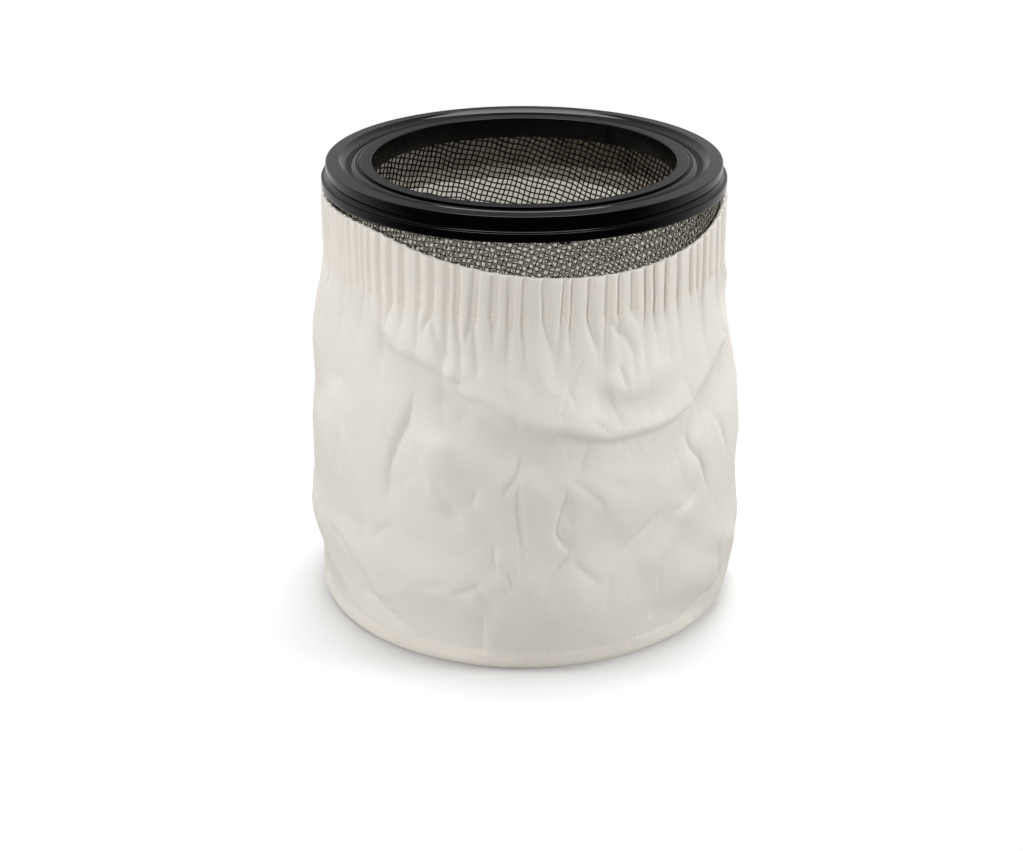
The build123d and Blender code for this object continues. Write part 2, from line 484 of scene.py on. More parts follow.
@dataclass(frozen=True)
class ZincSteel(Coat):
    """Zinc-coated mild steel, drawn as wire or rolled as strip: dull grey with blotched spangle."""

    light: str
    dark: str
    rough: float
    spangle_mm: float
    dent_mm: float
    lit_outer_share: float            # share of painted light, a dull pale colour, on faces that look away from the axis
    # pale colour of the painted light on those outward faces
    lit_outer_colour: str = "A9A598"

    def surface(self, tree: ShaderTree, where: bpy.types.NodeSocket) -> bpy.types.NodeSocket:
        """Build the surface.

        Args:
            tree: Tree to add nodes to.
            where: Position on the piece.

        Returns:
            The surface's socket.
        """
        cells = tree.add("TexVoronoi", {"Scale": per_mm(self.spangle_mm)}, {"Vector": where})
        soft = tree.add("TexNoise", {"Scale": 0.6 * per_mm(self.spangle_mm), "Detail": 3.0},
                        {"Vector": where})
        blend = tree.add("Mix", {0: 0.5}, {2: cells, 3: soft})
        share = tree.add("MapRange", {"From Min": 0.25, "From Max": 0.7}, {"Value": blend})
        colour = tree.add("Mix", {"data_type": "RGBA", 6: srgb(self.dark), 7: srgb(self.light)},
                          {0: share}, 2)
        rough = tree.add("MapRange", {"To Min": self.rough - 0.08, "To Max": self.rough + 0.14},
                         {"Value": soft})
        bump = tree.add("Bump", {"Distance": self.dent_mm * MM, "Strength": 0.5}, {"Height": soft})
        # Painted light: faces that look away from the axis get a dull pale colour and lose their metal, so
        # they read as lit, while the inner faces stay dark and bright-edged.
        away = tree.add("VectorMath", {"operation": "MULTIPLY", 1: (1.0, 1.0, 0.0)}, {0: where})
        radial = tree.add("VectorMath", {"operation": "NORMALIZE"}, {0: away})
        normal = tree.add("NewGeometry", out="Normal")
        facing = tree.add("VectorMath", {"operation": "DOT_PRODUCT"}, {0: radial, 1: normal}, "Value")
        lit_outer = tree.add("MapRange", {"From Min": 0.0, "From Max": 0.7, "To Max": self.lit_outer_share},
                          {"Value": facing})
        metal = tree.add("Math", {"operation": "SUBTRACT", 0: 1.0}, {1: lit_outer})
        face = tree.add("Mix", {"data_type": "RGBA", 7: srgb(self.lit_outer_colour)}, {0: lit_outer, 6: colour}, 2)
        return tree.add("BsdfPrincipled", None,
                        {"Base Color": face, "Metallic": metal, "Roughness": rough, "Normal": bump})


@dataclass(frozen=True)
class WovenCotton(Coat):
    """Unbleached calico, plain woven from carded cotton.

    The eye sees a warm off-white with a dry, slightly sheeny face, thicker threads here and
    there, and a few seed flecks.  The real threads lie 0.5 mm apart, too fine to show, so
    the weave is drawn with threads 1.3 mm apart.
    """

    name: str = "unbleached_calico"
    base: str = "ECE7DF"
    shade: str = "D6D1C6"
    fleck: str = "CDC4B4"
    thread_mm: float = 1.3
    thread_depth_mm: float = 0.05
    crumple_mm: float = 9.0
    crumple_depth_mm: float = 0.28
    tone_mm: float = 55.0
    fleck_mm: float = 11.0
    through: float = 0.30

    def surface(self, tree: ShaderTree, where: bpy.types.NodeSocket) -> bpy.types.NodeSocket:
        """Build the surface.

        Args:
            tree: Tree to add nodes to.
            where: Position on the piece.

        Returns:
            The surface's socket.
        """
        flat = tree.add("UVMap", {"uv_map": "flat"})
        threads = []
        for axis, stretch in (("X", (1.0, 0.06, 1.0)), ("Y", (0.06, 1.0, 1.0))):
            wave = tree.add("TexWave", {"bands_direction": axis, "Scale": waves_per_mm(self.thread_mm),
                                        "Distortion": 1.2, "Detail": 1.0, "Detail Scale": 0.4},
                            {"Vector": flat}, "Fac")
            long = tree.add("Mapping", {"Scale": stretch}, {"Vector": flat})
            slub = tree.add("TexNoise", {"Scale": per_mm(self.thread_mm), "Detail": 2.0}, {"Vector": long})
            threads.append(tree.add("Math", {"operation": "MULTIPLY"}, {0: wave, 1: slub}))
        weave = tree.add("Math", {"operation": "ADD"}, {0: threads[0], 1: threads[1]})
        crumple = tree.add("TexNoise", {"Scale": per_mm(self.crumple_mm), "Detail": 3.0, "Roughness": 0.55},
                           {"Vector": where})
        tone = tree.add("TexNoise", {"Scale": per_mm(self.tone_mm), "Detail": 3.0}, {"Vector": where})
        share = tree.add("MapRange", {"From Min": 0.35, "From Max": 0.95, "To Min": 0.0, "To Max": 0.75},
                         {"Value": weave})
        toned = tree.add("Math", {"operation": "MULTIPLY"}, {0: share, 1: tone})
        mixed = tree.add("Mix", {"data_type": "RGBA", 6: srgb(self.base), 7: srgb(self.shade)},
                         {0: toned}, 2)
        seeds = tree.add("TexVoronoi", {"Scale": per_mm(self.fleck_mm), "Randomness": 1.0}, {"Vector": flat})
        spot = tree.add("MapRange", {"From Min": 0.03, "From Max": 0.055, "To Min": 0.55, "To Max": 0.0},
                        {"Value": seeds})
        flecked = tree.add("Mix", {"data_type": "RGBA", 7: srgb(self.fleck)}, {0: spot, 6: mixed}, 2)
        fine = tree.add("Bump", {"Distance": self.thread_depth_mm * MM, "Strength": 0.8}, {"Height": weave})
        bump = tree.add("Bump", {"Distance": self.crumple_depth_mm * MM, "Strength": 0.8},
                        {"Height": crumple, "Normal": fine})
        face = tree.add("BsdfPrincipled", {"Roughness": 0.88, "Sheen Weight": 0.15, "Sheen Roughness": 0.5,
                                           "Specular IOR Level": 0.25},
                        {"Base Color": flecked, "Normal": bump})
        glow = tree.add("BsdfTranslucent", None, {"Color": flecked, "Normal": bump})
        return tree.add("MixShader", {"Fac": self.through}, {1: face, 2: glow})


@dataclass(frozen=True)
class SpunThread(Coat):
    """Spun polyester sewing thread: two plies twisted, a little brighter than the calico."""

    name: str = "spun_polyester_thread"
    colour: str = "EEEAE2"
    # colour of the painted shade in the twist's grooves
    groove: str = "C8C2B6"
    twist_mm: float = 0.9
    twist_depth_mm: float = 0.08

    def surface(self, tree: ShaderTree, where: bpy.types.NodeSocket) -> bpy.types.NodeSocket:
        """Build the surface.

        Args:
            tree: Tree to add nodes to.
            where: Position on the piece.

        Returns:
            The surface's socket.
        """
        twist = tree.add("TexWave", {"bands_direction": "DIAGONAL", "Scale": waves_per_mm(self.twist_mm)},
                         {"Vector": where}, "Fac")
        # Painted shade: the groove colour darkens the thread where the twist bump is low.
        colour = tree.add("Mix", {"data_type": "RGBA", 6: srgb(self.groove), 7: srgb(self.colour)},
                          {0: twist}, 2)
        bump = tree.add("Bump", {"Distance": self.twist_depth_mm * MM, "Strength": 0.7}, {"Height": twist})
        return tree.add("BsdfPrincipled", {"Roughness": 0.7, "Sheen Weight": 0.2},
                        {"Base Color": colour, "Normal": bump})


@dataclass(frozen=True)
class RibbedElastic(Coat):
    """Woven elastic, white polyester over rubber cores: fine ribs, and some light comes through."""

    name: str = "woven_elastic"
    colour: str = "F0EEE8"
    # colour of the painted shade between the ribs
    groove: str = "C9C6BE"
    rib_mm: float = 1.6
    rib_depth_mm: float = 0.2
    through: float = 0.40

    def surface(self, tree: ShaderTree, where: bpy.types.NodeSocket) -> bpy.types.NodeSocket:
        """Build the surface.

        Args:
            tree: Tree to add nodes to.
            where: Position on the piece.

        Returns:
            The surface's socket.
        """
        ribs = tree.add("TexWave", {"bands_direction": "Z", "Scale": waves_per_mm(self.rib_mm)},
                        {"Vector": where}, "Fac")
        # Painted shade: the groove colour darkens the band where the rib bump is low.
        colour = tree.add("Mix", {"data_type": "RGBA", 6: srgb(self.groove), 7: srgb(self.colour)},
                          {0: ribs}, 2)
        bump = tree.add("Bump", {"Distance": self.rib_depth_mm * MM, "Strength": 0.8}, {"Height": ribs})
        face = tree.add("BsdfPrincipled", {"Roughness": 0.65}, {"Base Color": colour, "Normal": bump})
        glow = tree.add("BsdfTranslucent", None, {"Color": colour, "Normal": bump})
        return tree.add("MixShader", {"Fac": self.through}, {1: face, 2: glow})


@dataclass(frozen=True)
class MattFloor(Coat):
    """Matt white board over a light table: it takes the shadow near the filter and glows beyond."""

    name: str = "matt_white_light_table"
    colour: str = "DDDDDD"
    grain_mm: float = 3.0
    grain_depth_mm: float = 0.02
    glow: float = 1.02
    near_mm: float = 160.0
    far_mm: float = 330.0

    def surface(self, tree: ShaderTree, where: bpy.types.NodeSocket) -> bpy.types.NodeSocket:
        """Build the surface.

        Args:
            tree: Tree to add nodes to.
            where: Position on the piece.

        Returns:
            The surface's socket.
        """
        grain = tree.add("TexNoise", {"Scale": per_mm(self.grain_mm), "Detail": 2.0}, {"Vector": where})
        bump = tree.add("Bump", {"Distance": self.grain_depth_mm * MM, "Strength": 0.2}, {"Height": grain})
        face = tree.add("BsdfPrincipled", {"Base Color": srgb(self.colour), "Roughness": 0.95,
                                           "Specular IOR Level": 0.0}, {"Normal": bump})
        glow = tree.add("Emission", {"Strength": self.glow})
        distance = tree.add("VectorMath", {"operation": "LENGTH"}, {0: where}, "Value")
        share = tree.add("MapRange", {"interpolation_type": "SMOOTHSTEP", "From Min": self.near_mm * MM,
                                      "From Max": self.far_mm * MM}, {"Value": distance})
        return tree.add("MixShader", None, {"Fac": share, 1: face, 2: glow})


class Finish(Enum):
    """Every finish of the filter and its studio."""

    RING = MouldedAbs()
    SEALANT = CuredSealant()
    # The outer faces of the wire and the strip carry painted light, a pale matt colour.
    WIRE = ZincSteel("galvanised_wire", light="5E5B54", dark="24231F", rough=0.42,
                     spangle_mm=6.0, dent_mm=0.02, lit_outer_share=0.62)
    STRIP = ZincSteel("zinc_plated_strip", light="B9BAB8", dark="8D8F8E", rough=0.34,
                      spangle_mm=9.0, dent_mm=0.03, lit_outer_share=0.1)
    CALICO = WovenCotton()
    THREAD = SpunThread()
    ELASTIC = RibbedElastic()
    FLOOR = MattFloor()

    @property
    def material(self) -> bpy.types.Material:
        """The finish's material, made once."""
        found = bpy.data.materials.get(self.value.name)
        return found if found is not None else self.value.build()


class Body(Enum):
    """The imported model's moving bodies."""

    BAG = "cloth_bag"
    CAGE = "filter_cage"


def mount(piece: bpy.types.Object, body: Body, slot: str, finish: Finish, *nodes: str) -> bpy.types.Object:
    """Dress a piece, tie it to its body and let it stand for CAD nodes.

    Args:
        piece: The new mesh object.
        body: Body it moves with.
        slot: Material slot of the record; not used.
        finish: Its finish.
        nodes: CAD nodes it replaces.

    Returns:
        The piece.
    """
    piece.data.materials.clear()
    piece.data.materials.append(finish.material)
    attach(piece, body.value)
    if nodes:
        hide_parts(*nodes)
    LOG.info("%s: %d faces on %s", piece.name, len(piece.data.polygons), body.value)
    return piece


# ======================================================================================
# Moulded ring
# ======================================================================================
@dataclass
class SealingRing:
    """The moulded ring on top of the cage and the sealant that holds the mesh in it."""

    bore_r: float = 100.0
    bore_low: float = 290.0
    rim_z: float = 304.0
    rim_r: float = 107.9
    bead_foot: float = 301.8
    bead_crest: Point2 = (110.9, 302.7)
    groove: Point2 = (114.2, 300.9)
    groove_step: float = 301.7
    cove: Point2 = (118.2, 302.7)
    land_in: float = 121.4
    land_out: float = 130.0
    land_fall: float = 0.25
    land_z: float = field(default_factory=lambda: node_span("flange_ring")[1])
    shoulder: float = 299.2
    waist: Point2 = (129.5, 297.4)
    neck: Point2 = (130.1, 295.9)
    neck_foot_r: float = 131.0
    lip_in: float = 131.4
    lip_r: float = field(default_factory=lambda: node_radius("flange_ring"))
    lip_top: float = 295.0
    lip_low: float = field(default_factory=lambda: node_span("flange_ring")[0])
    slot_r: Point2 = (126.6, 129.4)
    slot_top: float = 295.5
    tongue_r: float = 124.0
    collar_r: float = 103.0
    web_low: float = 297.8
    segments: int = 360
    sealant_in: float = 121.8
    sealant_out: float = field(default_factory=lambda: node_radius("mesh_sealant") - 0.05)
    sealant_low: float = field(default_factory=lambda: node_span("mesh_sealant")[0])
    sealant_belly_r: float = 126.0
    sealant_toe: Point2 = (124.6, 285.6)
    sealant_segments: int = 420

    def outline(self) -> Array:
        """Draw the moulding's closed outline with its small roundings.

        Returns:
            Points (r, z) in millimetres.
        """
        corners = [
            Corner(self.collar_r, self.bore_low, 0.6), Corner(self.bore_r, self.bore_low, 0.9),
            Corner(self.bore_r, self.rim_z, 0.9), Corner(self.rim_r, self.rim_z, 0.35),
            Corner(self.rim_r, self.bead_foot, 0.25),
            *arc_through((self.rim_r, self.bead_foot), self.bead_crest, self.groove, 8),
            Corner(*self.groove, 0.2), Corner(self.groove[0], self.groove_step, 0.25),
            *arc_through((self.groove[0], self.groove_step), self.cove, (self.land_in, self.land_z), 8),
            Corner(self.land_in, self.land_z, 0.3), Corner(self.land_out, self.land_z - self.land_fall, 0.8),
            Corner(self.land_out, self.shoulder, 0.8), Corner(*self.waist, 0.6),
            *arc_through(self.waist, self.neck, (self.neck_foot_r, self.lip_top + 0.1), 5),
            Corner(self.lip_in, self.lip_top, 0.2), Corner(self.lip_r, self.lip_top, 1.5),
            Corner(self.lip_r, self.lip_low, 1.6), Corner(self.slot_r[1], self.lip_low, 0.25),
            Corner(self.slot_r[1], self.slot_top, 0.2), Corner(self.slot_r[0], self.slot_top, 0.2),
            Corner(self.slot_r[0], self.lip_low, 0.25), Corner(self.tongue_r, self.lip_low, 0.4),
            Corner(self.tongue_r, self.web_low, 1.0), Corner(self.collar_r, self.web_low, 1.0),
        ]
        return rounded_outline(corners)

    def moulding(self) -> bpy.types.Object:
        """Build the ring.

        Returns:
            The new object.
        """
        piece = turned("sealing_ring_moulding", self.outline(), self.segments)
        return mount(piece, Body.CAGE, "ring_moulding", Finish.RING, "flange_ring")

    def sealant(self) -> bpy.types.Object:
        """Build the bead of sealant, whose lower edge wanders where it was gunned in.

        Returns:
            The new object.
        """
        top = self.lip_low - 0.05
        outline = rounded_outline([
            Corner(self.sealant_in, top, 0.3), Corner(self.sealant_out, top, 0.0),
            Corner(self.sealant_out, self.sealant_low, 0.3),
            Corner(self.sealant_belly_r, self.sealant_low + 0.4, 0.5), Corner(*self.sealant_toe, 1.0)])
        coarse, fine = RoundNoise(11, 26.0), RoundNoise(12, 7.0)

        def wander(a: Array, r: Array, z: Array) -> tuple[Array, Array]:
            """Move the lower and inner edges with the azimuth: it ran down most at the back.

            Args:
                a: Azimuths in radians.
                r: Radii in millimetres.
                z: Heights in millimetres.

            Returns:
                The changed radii and heights.
            """
            depth = smooth_step((self.lip_low - 1.0 - z) / 5.0)
            lift = coarse.at(a, z * 0) * 1.1 + fine.at(a, z * 0) * 0.6 + 2.6 * (1.0 + np.cos(a))
            inwards = smooth_step((self.sealant_out - 0.5 - r) / 2.0)
            return r - 0.5 * lift * depth * inwards, z + lift * depth

        piece = turned("mesh_sealant_bead", outline, self.sealant_segments, wander)
        return mount(piece, Body.CAGE, "sealant", Finish.SEALANT, "mesh_sealant")

    def build(self) -> None:
        """Build every piece of the ring."""
        self.moulding()
        self.sealant()
        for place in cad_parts["top_hoop"].material_slots:
            place.material = Finish.STRIP.material


# ======================================================================================
# Wire cage
# ======================================================================================
@dataclass
class WireCage:
    """The woven wire cage: slanted mesh wall, mesh base, steel rims and the seam strip."""

    wire: float = 0.8
    wall_r: float = field(default_factory=lambda: node_radius("mesh_wall") - 0.8)
    wall_low: float = 2.3
    wall_high: float = 295.2
    around: int = 204            # wires crossed on one turn at right angles to the slant
    starts: int = 62             # wires that climb as helices
    drift: float = 0.66          # how far the lattice wanders from true
    base_z: float = field(default_factory=lambda: sum(node_span("mesh_base")) / 2)
    base_r: float = field(default_factory=lambda: node_radius("mesh_base") - 0.2)
    sheet: float = 0.7
    rim_in: float = 120.0
    rim_span: Point2 = field(default_factory=lambda: node_span("bottom_rim"))
    rim_out: float = field(default_factory=lambda: node_radius("bottom_rim"))
    strip_azimuth: float = field(default_factory=lambda: node_azimuth("mesh_seam_strip"))
    strip_width: float = 14.0
    strip_span: Point2 = field(default_factory=lambda: node_span("mesh_seam_strip"))
    weld_pitch: float = 19.0
    sides: int = 6
    heavier: float = 1.35        # the wire is made this much thicker than it is, so that it shows
    rim_segments: int = 300

    @property
    def pitch(self) -> float:
        """Distance between wires in millimetres."""
        return TAU * self.wall_r / math.hypot(self.around, self.starts)

    def wander(self, x: Array, z: Array) -> tuple[Array, Array]:
        """Slight drift of the lattice, closed round the cage.

        Args:
            x: Distance round the cage in millimetres.
            z: Height in millimetres.

        Returns:
            The changed x and z.
        """
        t = x / self.wall_r
        dx = np.sin(9 * t + z / 21.0) + 0.7 * np.sin(17 * t - z / 13.0) + 0.5 * np.cos(31 * t + z / 9.0)
        dz = np.cos(11 * t - z / 17.0) + 0.7 * np.sin(23 * t + z / 11.0) + 0.5 * np.sin(37 * t - z / 7.0)
        return x + self.drift * dx, z + self.drift * dz

    def wires(self, name: str, node: str, lines: Sequence[tuple[Array, Array]]) -> None:
        """Sweep a round wire along many centre lines and mount them as one piece.

        Args:
            name: Piece name.
            node: CAD node that the piece stands for.
            lines: For each wire, its points in metres and the directions across the mesh there.
        """
        turn = np.arange(self.sides) * (TAU / self.sides)
        points, faces, offset = [], [], 0
        for centre, outwards in lines:
            along = unit(np.gradient(centre, axis=0))
            side = unit(np.cross(along, outwards))
            up = np.cross(side, along)
            ring = np.cos(turn)[:, None] * up[:, None, :] + np.sin(turn)[:, None] * side[:, None, :]
            points.append((centre[:, None, :] + ring * (0.5 * self.wire * self.heavier * MM)).reshape(-1, 3))
            faces.append(grid_faces(len(centre), self.sides, False, True) + offset)
            offset += self.sides * len(centre)
        piece = make_object(name, np.concatenate(points), [np.concatenate(faces)])
        mount(piece, Body.CAGE, "wire_mesh", Finish.WIRE, node)

    def wall_family(self, name: str, steep: bool, numbers: Array) -> None:
        """Build one group of parallel wires of the mesh wall.

        Args:
            name: Piece name.
            steep: True for the wires that run mostly upwards.
            numbers: Which wires of the family to make.
        """
        slant = math.atan2(self.starts, self.around)
        e1 = np.array([math.cos(slant), math.sin(slant)])
        e2 = np.array([-math.sin(slant), math.cos(slant)])
        height = self.wall_high - self.wall_low
        length = height / (e2[1] if steep else e1[1])
        samples = int(round(2 * length / self.pitch)) + 1
        s = np.linspace(0.0, length, samples)[None, :]
        fixed, moving = (e1, e2) if steep else (e2, e1)
        n = numbers[:, None].astype(float)
        base = n * self.pitch * fixed[1]
        start = -base / moving[1]
        run = start + s
        x = n * self.pitch * fixed[0] + run * moving[0]
        z = base + run * moving[1]
        crossing = run / self.pitch
        sign = -1.0 if steep else 1.0
        parity = np.where(numbers[:, None] % 2 == 0, 1.0, -1.0)
        weave = sign * parity * np.cos(math.pi * crossing) * 0.5 * self.wire
        x2, z2 = self.wander(x, z)
        centre = on_cylinder(x2 / self.wall_r, self.wall_r + weave, np.clip(z2, 0.0, height) + self.wall_low)
        outwards = on_cylinder(x2 / self.wall_r, np.full_like(x2, 1.0 / MM), np.zeros_like(x2))
        self.wires(name, "mesh_wall", list(zip(centre, outwards)))

    def wall(self) -> None:
        """Build the mesh wall in four groups of wires."""
        groups = [("mesh_wall_upright_wires_a", True, np.arange(0, self.around, 2)),
                  ("mesh_wall_upright_wires_b", True, np.arange(1, self.around, 2)),
                  ("mesh_wall_level_wires_a", False, np.arange(0, self.starts, 2)),
                  ("mesh_wall_level_wires_b", False, np.arange(1, self.starts, 2))]
        for name, steep, numbers in groups:
            self.wall_family(name, steep, numbers)

    def base(self) -> None:
        """Build the round mesh base, flat woven with the same wire."""
        half = int(self.base_r / self.pitch)
        upwards = np.array([0.0, 0.0, 1.0])
        for axis, name in enumerate(("mesh_base_wires_x", "mesh_base_wires_y")):
            lines: list[tuple[Array, Array]] = []
            for k in range(-half, half + 1):
                reach = math.sqrt(max(self.base_r ** 2 - (k * self.pitch) ** 2, 1.0))
                steps = max(3, int(round(4 * reach / self.pitch)) + 1)
                run = np.linspace(-reach, reach, steps)
                sign = (1.0 if k % 2 == 0 else -1.0) * (1.0 if axis == 0 else -1.0)
                lift = sign * np.cos(math.pi * run / self.pitch) * 0.5 * self.wire
                across = np.full_like(run, k * self.pitch)
                xy = (run, across) if axis == 0 else (across, run)
                lines.append((np.stack([*xy, self.base_z + lift], axis=-1) * MM, upwards))
            self.wires(name, "mesh_base", lines)

    def rims(self) -> None:
        """Build the outer rim and the inner clamp ring with their rolled edges."""
        t, (low, high) = self.sheet, self.rim_span
        foot = self.base_z - self.wire
        outer = rounded_outline([
            Corner(self.rim_in, low, 0.3), Corner(self.rim_out, low, 0.9), Corner(self.rim_out, high, 0.3),
            Corner(self.rim_out - t, high, 0.3), Corner(self.rim_out - t, foot, 0.2),
            Corner(self.rim_in, foot, 0.3)])
        piece = turned("bottom_rim_strip", outer, self.rim_segments)
        mount(piece, Body.CAGE, "zinc_strip", Finish.STRIP, "bottom_rim")
        top, r = self.base_z + self.wire, self.wall_r - self.wire - 0.1
        inner = rounded_outline([
            Corner(self.rim_in, top, 0.3), Corner(r, top, 0.2), Corner(r, high, 0.3),
            Corner(r - t, high, 0.3), Corner(r - t, top + t, 0.5), Corner(self.rim_in, top + t, 0.3)])
        piece = turned("bottom_clamp_strip", inner, self.rim_segments)
        mount(piece, Body.CAGE, "zinc_strip", Finish.STRIP, "bottom_clamp_ring")

    def seam_strip(self) -> None:
        """Build the strip over the mesh's joint, with a row of spot-weld dimples."""
        low, high = self.strip_span
        across = np.linspace(-0.5, 0.5, 15)[None, :] * self.strip_width
        up = np.linspace(low, high, 400)[:, None]
        weld = np.abs(np.mod(up - low, self.weld_pitch) - self.weld_pitch / 2)
        dimple = 0.35 * np.exp(-(np.hypot(weld, across) / 1.8) ** 2)
        inner_r = self.wall_r - self.wire - self.sheet + 0.05
        a = self.strip_azimuth + across / inner_r
        edge = 0.25 * smooth_step((np.abs(across) - 0.42 * self.strip_width) / 1.2)
        face = on_cylinder(a, inner_r + dimple + edge, up)
        back = on_cylinder(a, np.full_like(dimple, inner_r + self.sheet - 0.1), up)
        rows, columns = face.shape[:2]
        loop = np.concatenate([face, back[:, ::-1]], axis=1)
        faces = grid_faces(rows, 2 * columns, False, True)
        piece = make_object("mesh_seam_strip_welded", loop.reshape(-1, 3), [faces])
        mount(piece, Body.CAGE, "zinc_strip", Finish.STRIP, "mesh_seam_strip")

    def build(self) -> None:
        """Build every piece of the cage."""
        self.wall()
        self.base()
        self.rims()
        self.seam_strip()


# ======================================================================================
# Calico bag
# ======================================================================================
class FoldKind(Enum):
    """How a fold in the cloth is shaped across its line."""

    CREASE = "sharp valley, with one side steeper than the other"
    RIDGE = "soft crest"
    SWAG = "cloth above hangs out over the cloth below"


@dataclass(frozen=True)
class Fold:
    """One fold, drawn as a line of (azimuth in degrees, height in mm) on the bag's wall."""

    kind: FoldKind
    line: tuple[Point2, ...]
    depth: float
    width: float
    skew: float = 1.0       # how much wider the side left of the line is than the right

    def push(self, azimuth: Array, height: Array, girth_r: float = GIRTH_R) -> Array:
        """How far the fold moves the cloth outwards.

        Args:
            azimuth: Angles in radians.
            height: Heights in millimetres.
            girth_r: Radius at which degrees are turned to millimetres.

        Returns:
            Outward movement in millimetres.
        """
        knots = np.array([(math.radians(a) * girth_r, z) for a, z in self.line])
        curve = spline_through(knots, 6)
        middle = 0.5 * (knots[:, 0].min() + knots[:, 0].max())
        turn = TAU * girth_r
        x = np.mod(azimuth * girth_r - middle + turn / 2, turn) - turn / 2 + middle
        reach = 9.0 * self.width
        near = ((x > knots[:, 0].min() - reach) & (x < knots[:, 0].max() + reach)
                & (height > knots[:, 1].min() - reach) & (height < knots[:, 1].max() + reach))
        out = np.zeros(np.broadcast(azimuth, height).shape)
        if not near.any():
            return out
        points = np.stack([x[near], np.broadcast_to(height, near.shape)[near]], axis=-1)
        gap, side, along = distance_to_line(points, curve)
        ends = smooth_step(along / 0.22) * smooth_step((1.0 - along) / 0.30)
        out[near] = self.shape(gap, side) * ends * smooth_step((reach - gap) / (0.55 * reach))
        return out

    def shape(self, gap: Array, side: Array) -> Array:
        """Outward movement across the line.

        Args:
            gap: Distance from the line in millimetres.
            side: +1 left of the line's direction, -1 right of it.

        Returns:
            Outward movement in millimetres.
        """
        if self.kind is FoldKind.CREASE:
            broad = np.where(side > 0, self.width * self.skew, self.width)
            return -self.depth * (np.exp(-gap / broad) - 0.45 * np.exp(-gap / (2.6 * broad)))
        if self.kind is FoldKind.RIDGE:
            return self.depth * np.exp(-(gap / self.width) ** 2)
        rise = np.tanh(side * gap / self.width)
        fade = np.where(side > 0, np.exp(-gap / (7.0 * self.width)), np.exp(-gap / (4.5 * self.width)))
        return self.depth * rise * fade


def spline_through(knots: Array, steps: int) -> Array:
    """Curve through points (Catmull-Rom).

    Args:
        knots: Points, shape (n, 2).
        steps: Segments between two knots.

    Returns:
        Points on the curve.
    """
    padded = np.concatenate([[2 * knots[0] - knots[1]], knots, [2 * knots[-1] - knots[-2]]])
    t = np.linspace(0.0, 1.0, steps, endpoint=False)[:, None]
    made = []
    for p0, p1, p2, p3 in zip(padded[:-3], padded[1:-2], padded[2:-1], padded[3:]):
        made.append(0.5 * (2 * p1 + (p2 - p0) * t + (2 * p0 - 5 * p1 + 4 * p2 - p3) * t ** 2
                           + (3 * p1 - p0 - 3 * p2 + p3) * t ** 3))
    return np.concatenate([*made, knots[-1:]])


def distance_to_line(points: Array, curve: Array) -> tuple[Array, Array, Array]:
    """Distance from points to a curve, the side they lie on and how far along they are.

    Args:
        points: Shape (n, 2).
        curve: Shape (m, 2).

    Returns:
        Distance, side (+1 left, -1 right) and share of the curve's length from 0 to 1.
    """
    lengths = np.linalg.norm(np.diff(curve, axis=0), axis=1)
    before = np.concatenate([[0.0], np.cumsum(lengths)])
    best = np.full(len(points), np.inf)
    side, along = np.ones(len(points)), np.zeros(len(points))
    for k, (a, b) in enumerate(zip(curve[:-1], curve[1:])):
        d = b - a
        share = np.clip((points - a) @ d / (d @ d), 0.0, 1.0)
        off = points - a - share[:, None] * d
        gap = np.hypot(off[:, 0], off[:, 1])
        closer = gap < best
        best = np.where(closer, gap, best)
        side = np.where(closer, np.where(d[0] * off[:, 1] - d[1] * off[:, 0] >= 0, 1.0, -1.0), side)
        along = np.where(closer, (before[k] + share * lengths[k]) / before[-1], along)
    return best, side, along


# Heights of the bag's outline with its radius on the left and on the right.
OUTLINE = ((0.0, 140.2, 141.2), (12.0, 141.4, 143.6), (28.0, 141.2, 147.0), (45.0, 142.5, 149.9),
           (65.0, 146.3, 148.7), (90.0, 144.8, 146.9), (130.0, 144.5, 146.2), (165.0, 142.8, 143.6),
           (200.0, 139.7, 138.2), (222.0, 135.8, 135.4), (240.0, 133.6, 133.8), (252.0, 133.2, 133.3),
           (300.0, 133.1, 133.2))

